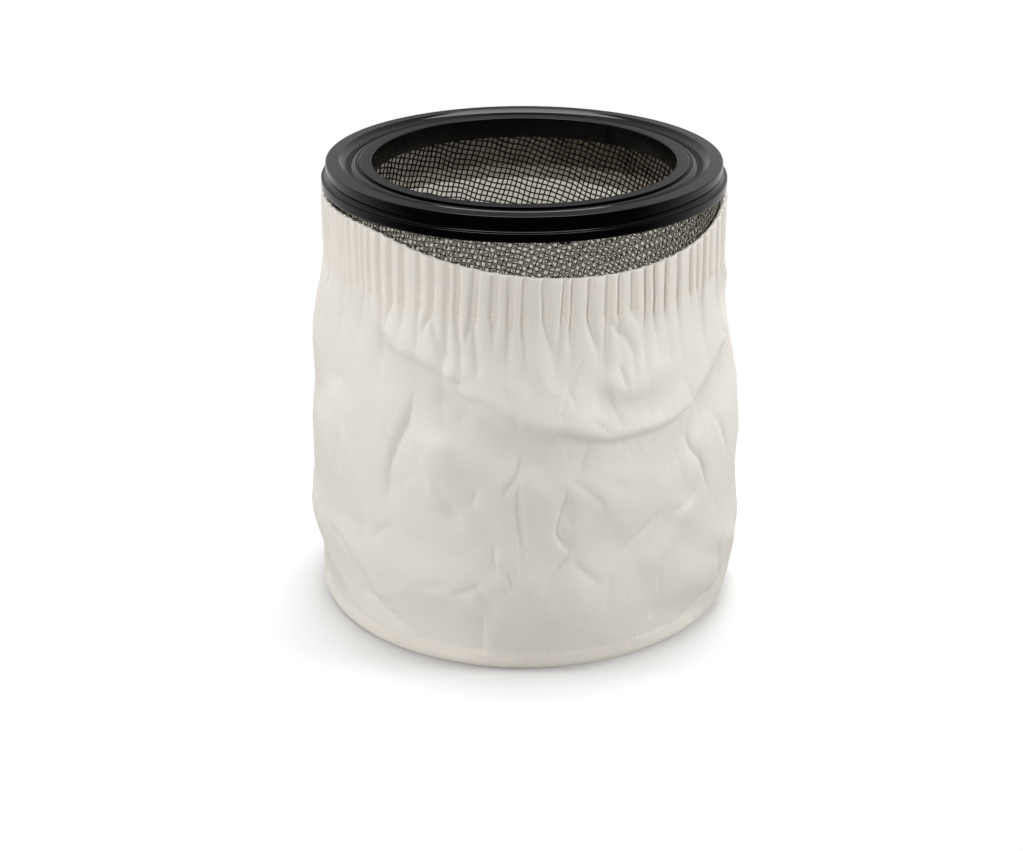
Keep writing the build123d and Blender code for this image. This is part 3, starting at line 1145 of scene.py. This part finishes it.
FOLDS = (
    # The cloth hangs in a swag across the front, whose edge is broken into four overlapping rolls.
    Fold(FoldKind.SWAG, ((80, 196), (69, 189), (58, 179), (49, 168)), -2.1, 4.5),
    Fold(FoldKind.SWAG, ((61, 180), (47, 165), (33, 158), (19, 160), (6, 168)), -2.4, 3.4),
    Fold(FoldKind.SWAG, ((22, 164), (8, 166), (-5, 175), (-16, 187), (-27, 193)), -2.6, 4.4),
    Fold(FoldKind.SWAG, ((-13, 196), (-25, 203), (-36, 213), (-47, 228)), -1.9, 4.8),
    Fold(FoldKind.CREASE, ((-29, 190), (-31, 174), (-34, 152), (-37, 124), (-36, 98)), 3.4, 4.2, 2.4),
    Fold(FoldKind.CREASE, ((51, 158), (47.5, 141), (52, 125), (56, 94)), 2.6, 2.6, 1.8),
    Fold(FoldKind.CREASE, ((-1, 155), (-2, 141), (-6, 126)), 2.0, 2.2, 1.5),
    Fold(FoldKind.CREASE, ((-1.4, 140), (-1.6, 118), (-0.5, 92), (-1.6, 60)), 1.8, 2.6, 1.3),
    Fold(FoldKind.CREASE, ((11, 128), (8.3, 104), (12, 82)), 2.4, 2.4, 1.7),
    Fold(FoldKind.CREASE, ((11.5, 84), (7.6, 72), (4, 58)), 1.6, 2.0),
    Fold(FoldKind.CREASE, ((37, 106), (32, 91), (22, 75)), 2.2, 2.8, 0.6),
    Fold(FoldKind.CREASE, ((-7, 84), (-4, 72), (-2.9, 55)), 2.3, 2.2, 2.4),
    Fold(FoldKind.CREASE, ((-66, 74), (-54, 56), (-43, 31), (-29, 17)), 3.0, 4.5, 0.7),
    Fold(FoldKind.CREASE, ((84, 44), (70, 32), (57, 21), (44, 17)), 2.6, 4.5, 1.4),
    Fold(FoldKind.CREASE, ((48, 162), (43, 147), (36, 122)), 1.6, 5.0, 1.4),
    Fold(FoldKind.RIDGE, ((30, 62), (41, 84), (47, 112)), 1.5, 12.0),
    Fold(FoldKind.RIDGE, ((-20, 168), (-22, 140), (-24, 110)), 1.4, 14.0),
    Fold(FoldKind.RIDGE, ((-60, 180), (-62, 140), (-60, 95)), 1.2, 18.0),
    Fold(FoldKind.RIDGE, ((18, 190), (30, 196), (42, 206)), 1.7, 11.0),
    Fold(FoldKind.CREASE, ((25, 208), (26.5, 192)), 1.6, 2.6),
    Fold(FoldKind.CREASE, ((22, 238), (29, 214), (28.5, 190)), 2.0, 2.4, 1.6),
    Fold(FoldKind.CREASE, ((-15, 245), (-13, 220), (-12, 198)), 1.8, 2.4, 1.5),
    Fold(FoldKind.CREASE, ((-26, 242), (-24, 228), (-19, 212)), 1.8, 2.4),
    # Round the sides and the back, where the same swags and creases go on.
    Fold(FoldKind.SWAG, ((150, 176), (132, 160), (116, 158), (104, 172), (97, 187)), -2.2, 6.0),
    Fold(FoldKind.SWAG, ((-84, 186), (-100, 168), (-120, 160), (-140, 170), (-152, 190)), -2.3, 5.5),
    Fold(FoldKind.CREASE, ((112, 150), (108, 128), (113, 92)), 2.6, 3.2, 1.8),
    Fold(FoldKind.CREASE, ((141, 130), (146, 104), (142, 70)), 2.3, 3.0, 1.6),
    Fold(FoldKind.CREASE, ((-98, 150), (-94, 120), (-99, 84)), 2.6, 3.4, 0.6),
    Fold(FoldKind.CREASE, ((-128, 140), (-134, 112), (-130, 76)), 2.2, 2.8, 1.7),
    Fold(FoldKind.CREASE, ((-158, 196), (-163, 162), (-157, 120)), 2.4, 3.0, 1.7),
    Fold(FoldKind.CREASE, ((164, 120), (158, 92), (163, 58)), 2.0, 2.8, 0.6),
    Fold(FoldKind.CREASE, ((122, 52), (108, 34), (96, 18)), 2.4, 4.2, 1.4),
    Fold(FoldKind.CREASE, ((-116, 58), (-132, 36), (-146, 18)), 2.4, 4.2, 0.7),
)


@dataclass(frozen=True)
class Gather:
    """One valley between two gathers of the mouth."""

    azimuth: float          # radians
    depth: float            # mm
    run: float              # how far the fold goes on below the stitching, mm
    lean: float             # how far it drifts sideways on the way, mm


@dataclass
class ClothBag:
    """The loose bag: a tube of calico with an elastic casing, a sewn-in base and a side seam."""

    lining_r: float = 130.42
    elastic_r: Point2 = (130.9, 131.3)
    floor_gap: float = 0.35
    cloth: float = 0.6
    mouth_back: float = field(default_factory=lambda: node_span("side_panel")[1])
    mouth_r: float = 132.0
    mouth_azimuth: float = 20.0
    mouth_hinge: float = 55.8
    mouth_slope: float = 15.2
    row_mean: float = 248.0
    row_swing: float = 8.0
    base_row: float = field(default_factory=lambda: sum(node_span("base_stitching")) / 2)
    stitch_pitch: float = 4.0
    stitch_long: float = 2.9
    stitch_r: float = 0.26
    gather_pitch: float = 9.3
    gather_r: float = 134.0      # radius just below the stitching, where the gathers run out
    seam_r: float = 143.0
    seed: int = 41
    wrinkle_count: int = 150
    fold_gain: float = 1.6       # how much deeper the folds are than their listed depths
    crumple_gain: float = 1.18
    seam_azimuth: float = field(default_factory=lambda: node_azimuth("side_seam_allowance"))
    seam_span: Point2 = field(default_factory=lambda: node_span("side_seam_allowance"))
    columns: int = 1080
    body_rows: int = 118
    casing_rows: int = 20
    lining_rows: int = 11
    gathers: list[Gather] = field(default_factory=list)
    noises: dict[str, RoundNoise] = field(default_factory=dict)
    wrinkles: list[Fold] = field(default_factory=list)

    def __post_init__(self) -> None:
        """Draw the gathers and the random fields of the crumpled cloth."""
        rng = np.random.default_rng(self.seed)
        count = round(TAU * self.mouth_r / self.gather_pitch)
        steps = rng.uniform(0.55, 1.45, count)
        azimuths = np.cumsum(steps) / steps.sum() * TAU
        leans = rng.normal(0.0, 2.0, count)
        for k in range(0, count - 1, 3):
            if rng.random() < 0.55:
                leans[k], leans[k + 1] = 4.0, -4.0
        for azimuth, lean in zip(azimuths, leans):
            depth, run = rng.uniform(0.9, 3.0), rng.uniform(8.0, 44.0)
            self.gathers.append(Gather(float(azimuth), depth, run, float(lean)))
        fields = (("belly", 3, 95.0), ("slack", 5, 42.0), ("crisp", 7, 26.0), ("fine", 9, 12.0))
        for name, seed, cell in fields:
            self.noises[name] = RoundNoise(seed, cell)
        for _ in range(self.wrinkle_count):
            place = np.array([rng.uniform(-180.0, 180.0), rng.uniform(26.0, 208.0)])
            slope, reach = rng.normal(math.pi / 2, 0.75), rng.uniform(7.0, 21.0)
            step = np.array([math.degrees(math.cos(slope) * reach / GIRTH_R), math.sin(slope) * reach])
            bow = np.array([-step[1] * 0.02, step[0]]) * rng.uniform(-0.5, 0.5)
            line = tuple((float(x), float(z)) for x, z in (place - step, place + bow, place + step))
            self.wrinkles.append(Fold(FoldKind.CREASE, line, rng.uniform(0.5, 1.9), rng.uniform(1.8, 4.2),
                                      rng.uniform(0.5, 2.4)))

    def mouth(self, azimuth: Array) -> Array:
        """Height of the mouth's edge, which dips to the front.

        Args:
            azimuth: Angles in radians.

        Returns:
            Heights in millimetres.
        """
        reach = self.mouth_r * np.cos(azimuth - math.radians(self.mouth_azimuth)) - self.mouth_hinge
        soft = 0.5 * (reach + np.sqrt(reach ** 2 + 12.0 ** 2))
        return self.mouth_back + 0.4 - soft * math.tan(math.radians(self.mouth_slope))

    def row(self, azimuth: Array) -> Array:
        """Height of the stitching below the casing."""
        return self.row_mean - self.row_swing * np.cos(azimuth - math.radians(self.mouth_azimuth))

    def plain_radius(self, azimuth: Array, height: Array) -> Array:
        """Radius of the bag before it is gathered, folded and crumpled.

        Args:
            azimuth: Angles in radians.
            height: Heights in millimetres.

        Returns:
            Radii in millimetres.
        """
        z, left, right = np.array(OUTLINE).T
        curves = [spline_through(np.stack([z, side], 1), 8) for side in (left, right)]
        r_left, r_right = (np.interp(height, curve[:, 0], curve[:, 1]) for curve in curves)
        foot = np.clip(1.0 - height / 5.0, 0.0, 1.0)
        return 0.5 * (r_left + r_right) + 0.5 * (r_right - r_left) * np.sin(azimuth) - 2.4 * foot ** 2

    def gather_push(self, azimuth: Array, height: Array) -> Array:
        """Outward movement of the gathers, above and below their stitching.

        Args:
            azimuth: Angles in radians.
            height: Heights in millimetres.

        Returns:
            Outward movement in millimetres.
        """
        mouth, row = self.mouth(azimuth), self.row(azimuth)
        below = np.clip(row - height, 0.0, None)
        centres = np.array([g.azimuth for g in self.gathers])
        sway = (1.3 * self.noises["crisp"].at(azimuth, 0.45 * height)
                + 0.8 * self.noises["fine"].at(azimuth, 0.5 * height))
        a = np.mod(azimuth + sway / self.mouth_r, TAU)
        edges = np.concatenate([[centres[-1] - TAU], centres, [centres[0] + TAU]])
        k = np.clip(np.searchsorted(edges, a, side="right") - 1, 0, len(edges) - 2)
        share = (a - edges[k]) / (edges[k + 1] - edges[k])
        tilt = np.array([0.5 + 0.34 * math.sin(7.3 * n) for n in range(len(self.gathers) + 1)])[k]
        rise, fall = 0.12 + 0.30 * tilt, 0.42 - 0.30 * tilt
        hump = (smooth_step(share / rise) * smooth_step((1.0 - share) / fall)
                * (1.0 - 0.25 * np.abs(share - 0.5)))
        deep = np.array([g.depth for g in self.gathers])
        deep = np.concatenate([deep[-1:], deep, deep[:1]])
        depth = deep[k] + (deep[k + 1] - deep[k]) * share
        edge_fade = 0.30 + 0.70 * smooth_step((mouth - height) / 4.0)
        uneven = 1.0 + 0.45 * self.noises["slack"].at(azimuth * 3.0, height)
        casing = (hump - 0.80) * depth * uneven * edge_fade * smooth_step((height - row + 5.0) / 5.0)
        folds = np.zeros(np.broadcast(a, height).shape)
        for gather in self.gathers:
            drift = gather.lean * smooth_step(below / gather.run)
            gap = (np.mod(a - gather.azimuth + math.pi, TAU) - math.pi) * self.gather_r - drift
            wide = 1.3 + 0.06 * below
            fade = np.exp(-(below / gather.run) ** 2) * smooth_step((below + 2.0) / 3.0)
            folds -= gather.depth * 1.15 * fade * np.exp(-np.abs(gap / wide) ** 1.4)
        pit = 1.0 - np.clip(hump, 0.0, 1.0)
        pull = -(0.35 + 1.1 * pit) * np.exp(-((height - row) / 1.8) ** 2)
        return casing + folds + pull

    def crumple(self, azimuth: Array, height: Array) -> Array:
        """Random slack of the loose cloth: soft hollows and crisp little creases.

        Args:
            azimuth: Angles in radians.
            height: Heights in millimetres.

        Returns:
            Outward movement in millimetres.
        """
        belly, slack = self.noises["belly"], self.noises["slack"]
        foot = 0.15 + 0.85 * smooth_step((height - 2.0) / 14.0)
        loose = smooth_step((self.row(azimuth) - height) / 26.0) * foot
        bent_a = azimuth + 0.16 * belly.at(azimuth, height) + height * 0.0014
        bent_z = (height + 30.0 * belly.at(azimuth + 2.0, height) + 14.0 * np.sin(3 * azimuth + 0.4)
                  + 10.0 * slack.at(azimuth + 1.0, height))
        total = (1.3 * belly.at(azimuth, height) + 1.5 * slack.facets(bent_a, bent_z)
                 + 0.7 * self.noises["crisp"].facets(bent_a + 0.4, bent_z + 13.0)
                 + 0.25 * self.noises["fine"].at(azimuth, height))
        total = total + sum(crease.push(azimuth, height) for crease in self.wrinkles)
        return self.crumple_gain * loose * total

    def radius(self, azimuth: Array, height: Array) -> Array:
        """Radius of the bag's outer face.

        Args:
            azimuth: Angles in radians.
            height: Heights in millimetres.

        Returns:
            Radii in millimetres.
        """
        azimuth, height = np.broadcast_arrays(np.asarray(azimuth, float), np.asarray(height, float))
        loose = smooth_step((self.row(azimuth) + 4.0 - height) / 8.0)
        slack, crisp = self.noises["slack"], self.noises["crisp"]
        bent = (height + 4.0 * crisp.facets(azimuth + 0.7, height + 20.0)
                + 1.2 * self.noises["fine"].at(azimuth, height))
        uneven = self.fold_gain * (1.0 + 0.45 * slack.at(azimuth + 2.4, height + 31.0)
                                   + 0.2 * crisp.at(azimuth, height))
        folds = uneven * sum(fold.push(azimuth, bent) for fold in FOLDS)
        sewn = -0.3 * np.exp(-((height - self.base_row) / 1.8) ** 2)
        seam_gap = (np.mod(azimuth - self.seam_azimuth + math.pi, TAU) - math.pi) * GIRTH_R
        seam = 0.5 * np.exp(-(seam_gap / 4.5) ** 2) - 0.5 * np.exp(-(seam_gap / 0.8) ** 2)
        out = (self.plain_radius(azimuth, height) + self.gather_push(azimuth, height) + folds * loose
               + self.crumple(azimuth, height) + sewn + seam * loose)
        return np.maximum(out, self.elastic_r[1] + 0.05)

    def side_panel(self) -> bpy.types.Object:
        """Build the wall from its lower edge up, over the mouth and down as the lining.

        Returns:
            The new object.
        """
        a = np.linspace(0.0, TAU, self.columns + 1)[None, :] + self.seam_azimuth
        row, mouth = self.row(a), self.mouth(a)
        up = np.linspace(0.0, 1.0, self.body_rows)[:, None]
        body = self.floor_gap + 0.2 + up * (row - self.floor_gap - 0.2)
        up = np.linspace(0.0, 1.0, self.casing_rows + 1)[1:, None]
        casing = row + up * (mouth - 1.0 - row)
        heights = np.concatenate([body, casing])
        radii = self.radius(a, heights)
        last = radii[-1:]
        half = 0.5 * (last - self.lining_r)
        turn = np.linspace(0.0, math.pi, 8)[1:, None]
        fold_z = mouth - 1.0 + np.sin(turn) * 1.0
        fold_r = self.lining_r + half + np.cos(turn) * half
        down = np.linspace(0.0, 1.0, self.lining_rows + 1)[1:, None]
        lining_z = mouth - 1.0 + down * (row - 3.0 - mouth)
        wave = 0.18 * np.sin(a * 89) * smooth_step(down * 3.0)
        lining_r = self.lining_r + 0.18 + wave - 0.18 * (1 - smooth_step(down * 3.0))
        heights = np.concatenate([heights, fold_z, lining_z])
        radii = np.concatenate([radii, fold_r, lining_r])
        points = on_cylinder(a, radii, heights)
        rows, columns = points.shape[:2]
        steps = np.linalg.norm(np.diff(points, axis=0), axis=2).mean(axis=1)
        path = np.concatenate([[0.0], np.cumsum(steps)])
        flat = np.stack(np.broadcast_arrays(a * GIRTH_R * MM, path[:, None]), axis=-1).reshape(-1, 2)
        faces = grid_faces(rows, columns, False, False)
        piece = make_object("side_panel_calico", points.reshape(-1, 3), [faces], flat)
        mount(piece, Body.BAG, "calico", Finish.CALICO, "side_panel")
        return piece

    def base_panel(self) -> bpy.types.Object:
        """Build the round base with its edge turned up inside the wall.

        Returns:
            The new object.
        """
        columns, flat_rows, hem_rows = 360, 30, 12
        a = np.linspace(0.0, TAU, columns, endpoint=False)[None, :]
        rings = np.linspace(4.0, 134.0, flat_rows)[:, None]
        uneven = 1 + self.noises["slack"].at(a, rings)
        flat_z = self.floor_gap + 0.35 * smooth_step((rings - 100.0) / 30.0) * uneven
        hem_top = self.base_row + 1.2 - self.floor_gap
        hem_z = np.linspace(0.0, 1.0, hem_rows)[:, None] ** 1.2 * hem_top + self.floor_gap
        wall = self.radius(a, np.maximum(hem_z, 3.0)) - 2.0 * self.cloth
        tuck = 3.5 * np.clip(1.0 - (hem_z - self.floor_gap) / 4.0, 0.0, 1.0) ** 2
        radii = np.concatenate([np.broadcast_to(rings, (flat_rows, columns)), wall - tuck])
        heights = np.concatenate([np.broadcast_to(flat_z, (flat_rows, columns)),
                                  np.broadcast_to(hem_z, (hem_rows, columns))])
        points = on_cylinder(a, radii, heights).reshape(-1, 3)
        centre = len(points)
        points = np.concatenate([points, [[0.0, 0.0, self.floor_gap * MM]]])
        spokes = np.arange(columns)
        tip = np.stack([np.full(columns, centre), (spokes + 1) % columns, spokes], axis=1)
        faces = grid_faces(flat_rows + hem_rows, columns, False, True)
        piece = make_object("base_panel_calico", points, [faces, tip], points[:, :2])
        mount(piece, Body.BAG, "calico", Finish.CALICO, "base_panel")
        return piece

    def elastic(self) -> None:
        """Build the elastic inside the casing."""
        inner, outer = self.elastic_r
        columns, steps = 360, 25
        a = np.linspace(0.0, TAU, columns, endpoint=False)[None, :]
        top = self.mouth(a) - 1.4
        low = top - np.minimum(24.2, self.mouth(a) - 3.0 - self.row(a))
        share = np.linspace(0.0, 1.0, steps)[:, None]
        ribs = 0.06 * np.abs(np.sin(share * 15 * math.pi))
        outside = on_cylinder(a, outer - 0.06 + ribs + 0 * a, top + share * (low - top))
        inside = on_cylinder(a, inner + 0.06 - ribs[::-1] + 0 * a, low + share * (top - low))
        loop = np.concatenate([outside, inside])
        faces = grid_faces(2 * steps, columns, True, True)
        piece = make_object("elastic_band_ribbed", loop.reshape(-1, 3), [faces])
        mount(piece, Body.BAG, "elastic", Finish.ELASTIC, "elastic_band")

    def stitches(self, name: str, node: str, starts: Array, ends: Array) -> None:
        """Build a row of stitches, each one a thread that dives in at both ends.

        Args:
            name: Piece name.
            node: CAD node it replaces.
            starts: Start of each stitch as (azimuth in radians, height in mm).
            ends: End of each stitch.
        """
        samples, sides = 7, 6
        along = np.linspace(0.0, 1.0, samples)[None, :]
        a = starts[:, :1] + along * (ends[:, :1] - starts[:, :1])
        z = starts[:, 1:] + along * (ends[:, 1:] - starts[:, 1:])
        sunk = np.random.default_rng(len(starts)).uniform(0.0, 0.30, (len(starts), 1))
        lift = 0.55 * np.sin(along * math.pi) ** 0.5 - 0.35 - sunk
        centre = on_cylinder(a, self.radius(a, z) + lift, z)
        outwards = on_cylinder(a, np.full_like(a, 1.0 / MM), np.zeros_like(a))
        side = unit(np.cross(unit(np.gradient(centre, axis=1)), outwards))
        k = np.arange(sides)
        turn = k * (TAU / sides)
        thick = (self.stitch_r * np.sqrt(np.sin((0.08 + 0.84 * along) * math.pi)))[..., None, None] * MM
        ring = np.cos(turn)[:, None] * outwards[..., None, :] + np.sin(turn)[:, None] * side[..., None, :]
        tube = (centre[..., None, :] + ring * thick).reshape(len(starts), -1, 3)
        caps = np.stack([centre[:, 0], centre[:, -1]], axis=1)
        points = np.concatenate([tube, caps], axis=1)
        size = points.shape[1]
        offset = (np.arange(len(starts)) * size)[:, None, None]
        quads = (grid_faces(samples, sides, False, True)[None] + offset).reshape(-1, 4)
        last = (samples - 1) * sides
        start_cap = np.stack([np.full(sides, size - 2), (k + 1) % sides, k], axis=1)
        end_cap = np.stack([np.full(sides, size - 1), last + k, last + (k + 1) % sides], axis=1)
        tips = (np.concatenate([start_cap, end_cap])[None] + offset).reshape(-1, 3)
        piece = make_object(name, points.reshape(-1, 3), [quads, tips])
        mount(piece, Body.BAG, "thread", Finish.THREAD, node)

    def round_row(self, name: str, node: str, height: Callable[[Array], Array], radius: float) -> None:
        """Sew one row round the bag.

        Args:
            name: Piece name.
            node: CAD node it replaces.
            height: Height of the row at an azimuth.
            radius: Radius used to space the stitches.
        """
        count = round(TAU * radius / self.stitch_pitch)
        rng = np.random.default_rng(len(name))
        first = np.arange(count) * TAU / count + rng.normal(0.0, 0.15, count) / radius
        last = first + self.stitch_long / radius
        wander = rng.normal(0.0, 0.18, (2, count))
        self.stitches(name, node, np.stack([first, height(first) + wander[0]], 1),
                      np.stack([last, height(last) + wander[1]], 1))

    def sewing(self) -> None:
        """Sew the casing, the base and the side seam."""
        self.round_row("casing_stitch_row", "casing_stitching", self.row, 132.3)
        self.round_row("base_stitch_row", "base_stitching",
                       lambda a: self.base_row + 1.0 - np.cos(a - 0.1), 142.0)
        rows = []
        for shift in (-4.0, 4.0):
            heights = np.arange(self.seam_span[0], self.seam_span[1] - 2.0, self.stitch_pitch)
            azimuths = np.full_like(heights, self.seam_azimuth + shift / self.seam_r)
            rows.append(np.stack([azimuths, heights], 1))
        low = np.concatenate(rows)
        high = low + np.array([0.0, self.stitch_long])
        self.stitches("side_seam_stitch_rows", "side_seam_stitching", low, high)

    def seam_allowance(self) -> None:
        """Build the two edges of cloth that lie flat behind the side seam."""
        rows, columns = 110, 13
        up = np.linspace(self.seam_span[0], self.seam_span[1] - 2.0, rows)[:, None]
        across = np.linspace(-6.0, 6.0, columns)[None, :]
        a = self.seam_azimuth + across / self.seam_r
        fray = 0.25 * np.sin(up * 0.9 + across) * (np.abs(across) > 5.0)
        points = on_cylinder(a, self.radius(a, up) - 1.0 - fray, up)
        flat = np.stack(np.broadcast_arrays(across * MM, up * MM), axis=-1).reshape(-1, 2)
        faces = grid_faces(rows, columns, False, False)
        piece = make_object("side_seam_allowance_calico", points.reshape(-1, 3), [faces], flat)
        mount(piece, Body.BAG, "calico", Finish.CALICO, "side_seam_allowance")

    def build(self) -> None:
        """Build every piece of the bag."""
        self.elastic()
        self.base_panel()
        self.side_panel()
        self.seam_allowance()
        self.sewing()


# ======================================================================================
# Studio
# ======================================================================================
@dataclass(frozen=True)
class Softbox:
    """One rectangular light that faces the filter."""

    name: str
    place: tuple[float, float, float]
    size: Point2
    watts: float
    mirrored: bool          # whether gloss on the filter shows the light itself


@dataclass
class Studio:
    """Pale floor, soft light and the camera."""

    camera_place: tuple[float, float, float] = (-0.0083, -1.3, 0.6785)
    camera_pitch: float = 23.53
    lens: float = 72.0
    floor_r: float = 0.9
    sensor_width: float = 36.0
    front_glow: float = 0.01
    back_glow: float = 0.80
    flag_glow: float = 0.30          # what is left of the glow behind the black flag
    flag_span: Point2 = (0.02, 0.17)  # sideways reach of the flag, as parts of a unit direction
    target: tuple[float, float, float] = (0.0, 0.0, 0.15)
    lights: tuple[Softbox, ...] = (
        Softbox("overhead_softbox", (0.0, 0.1, 1.5), (1.0, 0.9), 26.0, True),
        Softbox("left_softbox", (-1.4, -0.1, 0.5), (0.5, 0.7), 9.0, False),
        Softbox("right_softbox", (1.4, -0.2, 0.5), (0.5, 0.7), 15.5, False),
        Softbox("front_softbox", (0.7, -1.4, 0.8), (0.7, 0.6), 3.5, False),
        Softbox("low_front_softbox", (-0.5, -1.5, 0.11), (0.8, 0.18), 17.0, False),
        Softbox("back_softbox", (0.3, 1.6, 0.5), (1.0, 0.8), 17.0, False),
    )

    def floor(self) -> None:
        """Lay a round floor whose top is the plane the bag stands on."""
        rings, columns = 12, 96
        a = np.linspace(0.0, TAU, columns, endpoint=False)[None, :]
        r = np.linspace(0.1, 1.0, rings)[:, None] * self.floor_r / MM
        points = on_cylinder(a, r, np.zeros_like(r)).reshape(-1, 3)
        centre = len(points)
        points = np.concatenate([points, [[0.0, 0.0, 0.0]]])
        k = np.arange(columns)
        tip = np.stack([np.full(columns, centre), k, (k + 1) % columns], axis=1)
        piece = make_object("floor", points, [grid_faces(rings, columns, False, True)[:, ::-1], tip])
        piece.data.materials.append(Finish.FLOOR.material)
        piece.visible_diffuse = False
        piece.visible_glossy = False

    def world(self) -> None:
        """Light the surroundings: bright behind, dim in front, plain white to the eye."""
        world = bpy.data.worlds.new("studio")
        bpy.context.scene.world = world
        tree = ShaderTree(world)
        ray = tree.add("TexCoord", out="Generated")
        back = tree.add("SeparateXYZ", links={0: ray}, out="Y")
        glow = tree.add("MapRange", {"interpolation_type": "SMOOTHSTEP", "From Min": -0.45, "From Max": 0.45,
                                     "To Min": self.front_glow, "To Max": self.back_glow}, {"Value": back})
        # A narrow black flag straight behind keeps the ring's flat faces black in the middle.
        aside = tree.add("Math", {"operation": "ABSOLUTE"}, {0: back.node.outputs["X"]})
        flag = tree.add("MapRange", {"interpolation_type": "SMOOTHSTEP", "From Min": self.flag_span[0],
                                     "From Max": self.flag_span[1], "To Min": self.flag_glow},
                        {"Value": aside})
        strength = tree.add("Math", {"operation": "MULTIPLY"}, {0: glow, 1: flag})
        around = tree.add("Background", {"Color": grey(1.0)}, {"Strength": strength})
        seen = tree.add("Background", {"Color": grey(1.0), "Strength": 1.0})
        to_eye = tree.add("LightPath", out="Is Camera Ray")
        both = tree.add("MixShader", links={"Fac": to_eye, 1: around, 2: seen})
        tree.add("OutputWorld", links={"Surface": both})

    def light(self, box: Softbox) -> None:
        """Hang one softbox and turn it to the filter.

        Args:
            box: The softbox.
        """
        data = bpy.data.lights.new(box.name, "AREA")
        data.shape, data.size, data.size_y, data.energy = "RECTANGLE", box.size[0], box.size[1], box.watts
        lamp = bpy.data.objects.new(box.name, data)
        lamp.location = box.place
        lamp.visible_glossy = box.mirrored
        aim = Vector(self.target) - Vector(box.place)
        lamp.rotation_euler = aim.to_track_quat("-Z", "Y").to_euler()
        bpy.context.scene.collection.objects.link(lamp)

    def camera(self) -> None:
        """Set up the camera."""
        data = bpy.data.cameras.new("camera")
        data.lens, data.sensor_width, data.sensor_fit = self.lens, self.sensor_width, "HORIZONTAL"
        eye = bpy.data.objects.new("camera", data)
        eye.location = self.camera_place
        eye.rotation_euler = (math.radians(90.0 - self.camera_pitch), 0.0, 0.0)
        bpy.context.scene.collection.objects.link(eye)
        bpy.context.scene.camera = eye

    def build(self) -> None:
        """Build the studio."""
        self.floor()
        self.world()
        for box in self.lights:
            self.light(box)
        self.camera()
        bpy.context.scene.view_settings.view_transform = "Standard"


def main() -> None:
    """Build the filter and its studio."""
    Studio().build()
    SealingRing().build()
    WireCage().build()
    ClothBag().build()


if __name__ == "__main__":
    main()
